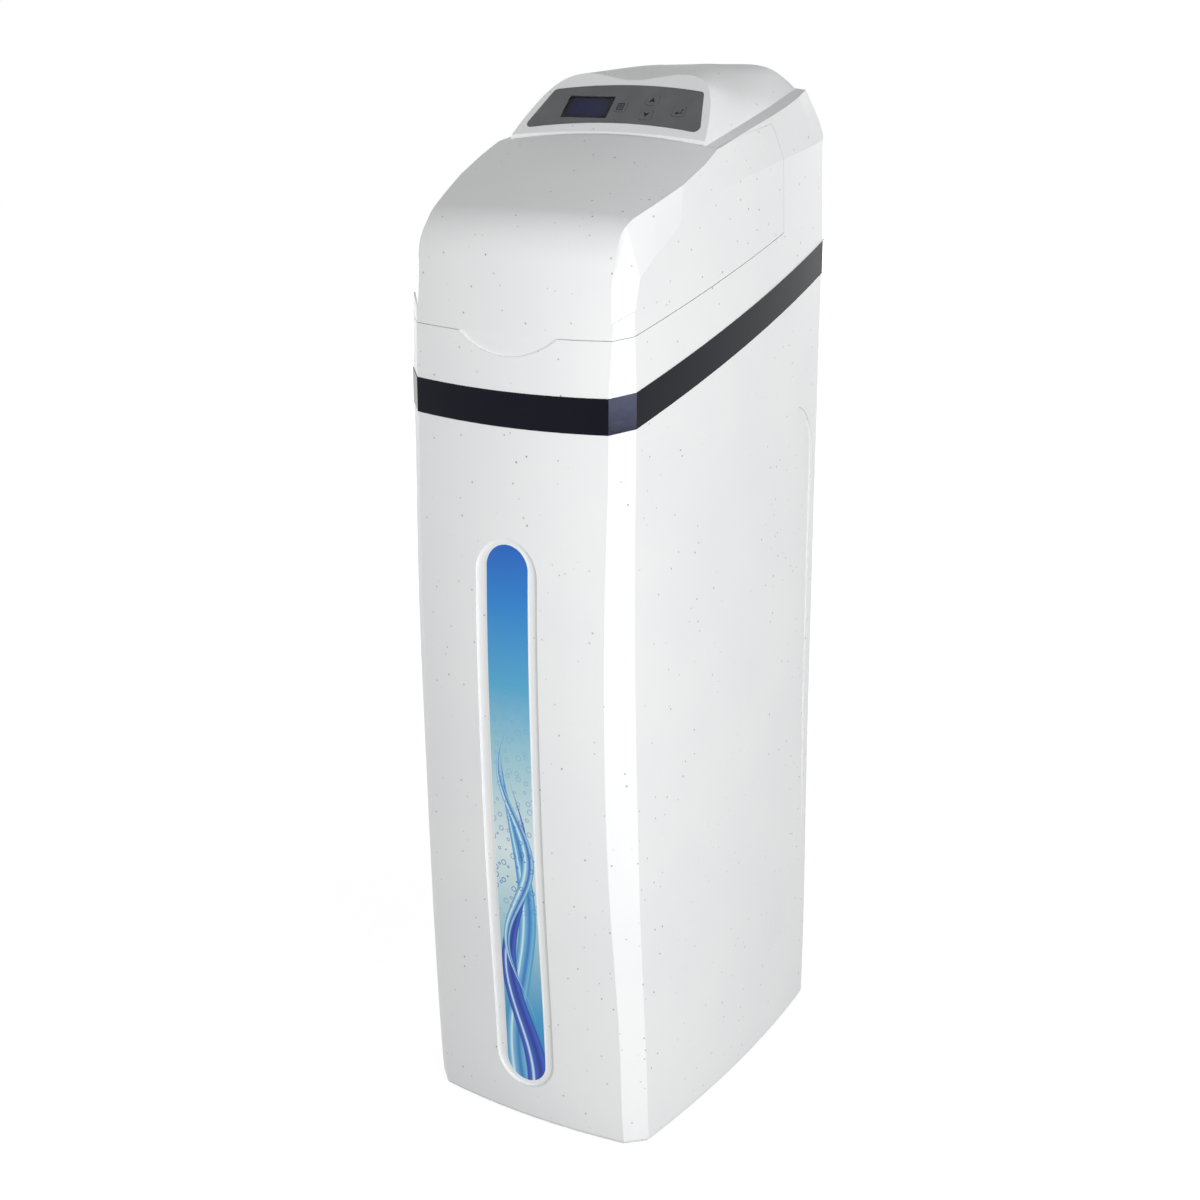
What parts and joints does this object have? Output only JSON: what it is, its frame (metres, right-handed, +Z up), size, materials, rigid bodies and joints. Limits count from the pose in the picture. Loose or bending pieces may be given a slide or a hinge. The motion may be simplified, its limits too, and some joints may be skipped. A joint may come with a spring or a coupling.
{
  "type": "water softener",
  "caption": "Free-standing cabinet water softener with a hinged salt lid, sloping key panel, resin vessel, motor-driven valve and brine well.",
  "frame": {"origin": "middle of the cabinet's width and depth, on the floor", "axes": "+X to the right seen from the front, -Y towards the front, +Z up"},
  "size_m": [0.3036, 0.4939, 1.1497],
  "materials": {
    "white_plastic": "satin",
    "band_plastic": "gloss",
    "strip_blue": "gloss",
    "panel_grey": "satin",
    "key_grey": "satin",
    "window_clear": "gloss",
    "display_glass": "gloss",
    "board_green": "satin",
    "steel": "satin",
    "vessel_fibreglass": "satin",
    "black_plastic": "matte",
    "acetal": "satin",
    "resin": "matte",
    "well_plastic": "satin",
    "valve_plastic": "satin",
    "motor_zinc": "satin",
    "line_plastic": "satin"
  },
  "bodies": {
    "housing": {"cabinet": "white_plastic", "trim_band": "band_plastic", "decorative_strip": "strip_blue", "top_cover": "white_plastic", "hinge_pins": "steel", "control_fascia": "panel_grey", "display_window": "window_clear", "display_module": "display_glass", "display_board": "board_green", "board_screws": "steel", "cover_screws": "steel", "resin_vessel": "vessel_fibreglass", "vessel_foot": "black_plastic", "riser_tube": "well_plastic", "lower_strainer": "black_plastic", "upper_strainer": "black_plastic", "resin_bed": "resin", "valve_body": "valve_plastic", "gear_plate": "valve_plastic", "bracket_screws": "steel", "motor_bracket": "steel", "drive_motor": "motor_zinc", "inlet_adapter": "valve_plastic", "outlet_adapter": "valve_plastic", "drain_outlet": "valve_plastic", "brine_well": "well_plastic", "well_cap": "well_plastic", "pickup_tube": "line_plastic", "air_check": "line_plastic", "safety_valve": "well_plastic", "float_rod": "line_plastic", "well_elbow": "valve_plastic", "valve_elbow": "valve_plastic", "brine_tube": "line_plastic", "overflow_elbow": "black_plastic", "overflow_nut": "black_plastic"},
    "lid": {"salt_lid": "white_plastic"},
    "menu_key": {"key_menu": "key_grey"},
    "up_key": {"key_up": "key_grey"},
    "down_key": {"key_down": "key_grey"},
    "confirm_key": {"key_confirm": "key_grey"},
    "gear": {"main_gear": "acetal", "valve_disc": "acetal"},
    "pinion": {"drive_pinion": "acetal"},
    "turbine": {"flow_turbine": "acetal"},
    "float": {"brine_float": "acetal"}
  },
  "joints": [
    {"name": "lid_hinge", "type": "hinge", "parent": "housing", "child": "lid", "pos_m": [0, 0.089, 1.082], "axis": [-1, 0, 0], "range_deg": [0, 110]},
    {"name": "menu_press", "type": "slide", "parent": "housing", "child": "menu_key", "axis": [0, 0.7071, -0.7071], "range_m": [0, 0.0008], "stiffness_N_per_m": 600, "springref_m": -0.0003},
    {"name": "up_press", "type": "slide", "parent": "housing", "child": "up_key", "axis": [0, 0.7071, -0.7071], "range_m": [0, 0.0008], "stiffness_N_per_m": 600, "springref_m": -0.0003},
    {"name": "down_press", "type": "slide", "parent": "housing", "child": "down_key", "axis": [0, 0.7071, -0.7071], "range_m": [0, 0.0008], "stiffness_N_per_m": 600, "springref_m": -0.0003},
    {"name": "confirm_press", "type": "slide", "parent": "housing", "child": "confirm_key", "axis": [0, 0.7071, -0.7071], "range_m": [0, 0.0008], "stiffness_N_per_m": 600, "springref_m": -0.0003},
    {"name": "gear_turn", "type": "hinge", "parent": "housing", "child": "gear", "pos_m": [0, 0.094, 1.041], "axis": [0, 0, 1], "continuous": true},
    {"name": "pinion_turn", "type": "hinge", "parent": "housing", "child": "pinion", "pos_m": [0, 0.14088, 1.041], "axis": [0, 0, 1], "continuous": true},
    {"name": "turbine_turn", "type": "hinge", "parent": "housing", "child": "turbine", "pos_m": [-0.04, 0.1855, 0.988], "axis": [0, 1, 0], "continuous": true},
    {"name": "float_rise", "type": "slide", "parent": "housing", "child": "float", "axis": [0, 0, 1], "range_m": [0, 0.18]}
  ],
  "couplings": [
    {"joint": "pinion_turn", "follows": "gear_turn", "ratio": -4}
  ]
}
